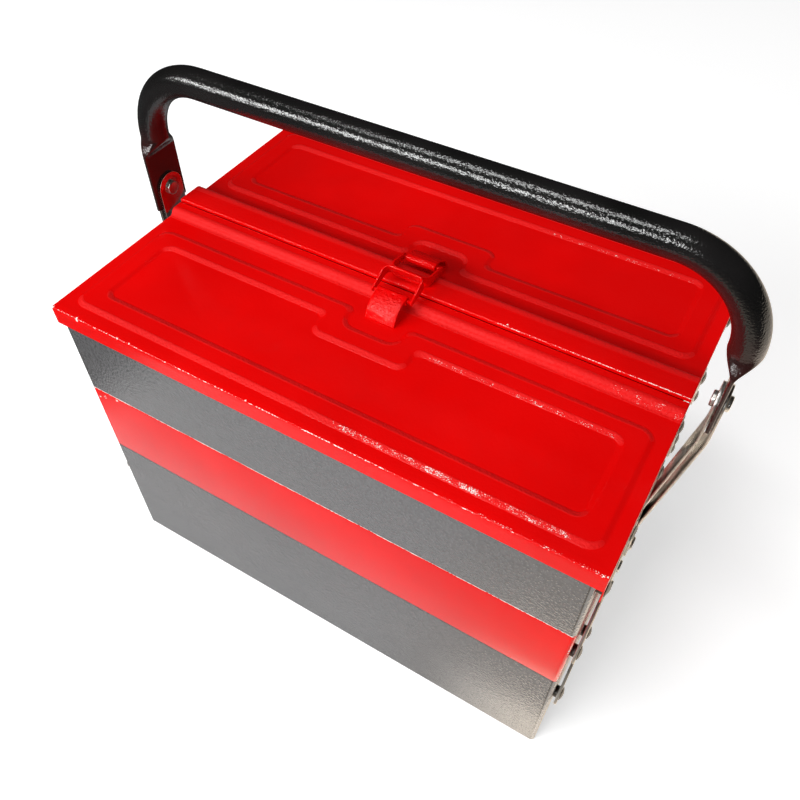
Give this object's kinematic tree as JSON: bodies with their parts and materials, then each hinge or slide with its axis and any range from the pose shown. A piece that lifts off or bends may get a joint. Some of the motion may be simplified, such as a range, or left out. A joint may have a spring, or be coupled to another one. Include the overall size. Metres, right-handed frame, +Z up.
{
  "type": "cantilever tool box",
  "caption": "Steel tool box whose trays swing apart on parallel arms, with a pressed lid and hasp on each half and a tubular carrying handle.",
  "frame": {"origin": "middle of the base's underside", "axes": "+X along the box's length, the front half towards -Y, +Z up"},
  "size_m": [0.4174, 0.256, 0.3555],
  "materials": {
    "grey_paint": "gloss, hammered",
    "red_paint": "gloss",
    "arm_steel": "satin",
    "zinc": "zinc plated, satin",
    "black_coat": "gloss, hammered"
  },
  "bodies": {
    "base": {"base_box": "grey_paint", "base_pivot_rivets": "zinc", "bracket_inner_left": "arm_steel", "bracket_inner_right": "arm_steel", "bracket_outer_left": "arm_steel", "bracket_outer_right": "arm_steel", "bracket_rivets": "zinc", "handle_pivot_rivets": "zinc"},
    "handle": {"handle": "black_coat"},
    "front_arms": {"front_long_arm_left": "arm_steel", "front_long_arm_right": "arm_steel"},
    "front_lower_links": {"front_lower_link_left": "arm_steel", "front_lower_link_right": "arm_steel"},
    "front_upper_links": {"front_upper_link_left": "arm_steel", "front_upper_link_right": "arm_steel"},
    "front_middle": {"front_middle_tray": "red_paint", "front_middle_rivets": "zinc"},
    "front_top": {"front_top_tray": "grey_paint", "front_top_rivets": "zinc", "front_lid_hinge_rivets": "zinc"},
    "front_lid_body": {"front_lid": "red_paint", "front_hasp_tab": "red_paint"},
    "front_ring": {"front_hasp_ring": "red_paint"},
    "rear_arms": {"rear_long_arm_left": "arm_steel", "rear_long_arm_right": "arm_steel"},
    "rear_lower_links": {"rear_lower_link_left": "arm_steel", "rear_lower_link_right": "arm_steel"},
    "rear_upper_links": {"rear_upper_link_left": "arm_steel", "rear_upper_link_right": "arm_steel"},
    "rear_middle": {"rear_middle_tray": "red_paint", "rear_middle_rivets": "zinc"},
    "rear_top": {"rear_top_tray": "grey_paint", "rear_top_rivets": "zinc", "rear_lid_hinge_rivets": "zinc"},
    "rear_lid_body": {"rear_lid": "red_paint", "rear_hasp_tab": "red_paint"},
    "rear_ring": {"rear_hasp_ring": "red_paint"}
  },
  "joints": [
    {"name": "handle_swing", "type": "hinge", "parent": "base", "child": "handle", "pos_m": [0, 0, 0.2573], "axis": [1, 0, 0], "range_deg": [-85, 85]},
    {"name": "front_open", "type": "hinge", "parent": "base", "child": "front_arms", "pos_m": [0, -0.116, 0.074], "axis": [1, 0, 0], "range_deg": [0, 72.8]},
    {"name": "front_middle_level", "type": "hinge", "parent": "front_arms", "child": "front_middle", "pos_m": [0, -0.068, 0.139], "axis": [1, 0, 0], "range_deg": [-73, 0]},
    {"name": "front_top_level", "type": "hinge", "parent": "front_arms", "child": "front_top", "pos_m": [0, -0.02, 0.204], "axis": [1, 0, 0], "range_deg": [-73, 0]},
    {"name": "front_lower_link_swing", "type": "hinge", "parent": "base", "child": "front_lower_links", "pos_m": [0, -0.068, 0.074], "axis": [1, 0, 0], "range_deg": [0, 73]},
    {"name": "front_upper_link_swing", "type": "hinge", "parent": "front_middle", "child": "front_upper_links", "pos_m": [0, -0.116, 0.139], "axis": [1, 0, 0], "range_deg": [0, 73]},
    {"name": "front_lid_hinge", "type": "hinge", "parent": "front_top", "child": "front_lid_body", "pos_m": [0, -0.115, 0.217], "axis": [1, 0, 0], "range_deg": [0, 105]},
    {"name": "front_ring_hinge", "type": "hinge", "parent": "front_lid_body", "child": "front_ring", "pos_m": [0, -0.0187, 0.2573], "axis": [1, 0, 0], "range_deg": [0, 150]},
    {"name": "rear_open", "type": "hinge", "parent": "base", "child": "rear_arms", "pos_m": [0, 0.116, 0.074], "axis": [-1, 0, 0], "range_deg": [0, 72.8]},
    {"name": "rear_middle_level", "type": "hinge", "parent": "rear_arms", "child": "rear_middle", "pos_m": [0, 0.068, 0.139], "axis": [-1, 0, 0], "range_deg": [-73, 0]},
    {"name": "rear_top_level", "type": "hinge", "parent": "rear_arms", "child": "rear_top", "pos_m": [0, 0.02, 0.204], "axis": [-1, 0, 0], "range_deg": [-73, 0]},
    {"name": "rear_lower_link_swing", "type": "hinge", "parent": "base", "child": "rear_lower_links", "pos_m": [0, 0.068, 0.074], "axis": [-1, 0, 0], "range_deg": [0, 73]},
    {"name": "rear_upper_link_swing", "type": "hinge", "parent": "rear_middle", "child": "rear_upper_links", "pos_m": [0, 0.116, 0.139], "axis": [-1, 0, 0], "range_deg": [0, 73]},
    {"name": "rear_lid_hinge", "type": "hinge", "parent": "rear_top", "child": "rear_lid_body", "pos_m": [0, 0.115, 0.217], "axis": [-1, 0, 0], "range_deg": [0, 105]},
    {"name": "rear_ring_hinge", "type": "hinge", "parent": "rear_lid_body", "child": "rear_ring", "pos_m": [0, 0.0187, 0.2573], "axis": [-1, 0, 0], "range_deg": [0, 165]}
  ],
  "couplings": [
    {"joint": "front_middle_level", "follows": "front_open", "ratio": -1},
    {"joint": "front_top_level", "follows": "front_open", "ratio": -1},
    {"joint": "front_lower_link_swing", "follows": "front_open", "ratio": 1},
    {"joint": "front_upper_link_swing", "follows": "front_open", "ratio": 1},
    {"joint": "rear_middle_level", "follows": "rear_open", "ratio": -1},
    {"joint": "rear_top_level", "follows": "rear_open", "ratio": -1},
    {"joint": "rear_lower_link_swing", "follows": "rear_open", "ratio": 1},
    {"joint": "rear_upper_link_swing", "follows": "rear_open", "ratio": 1}
  ]
}
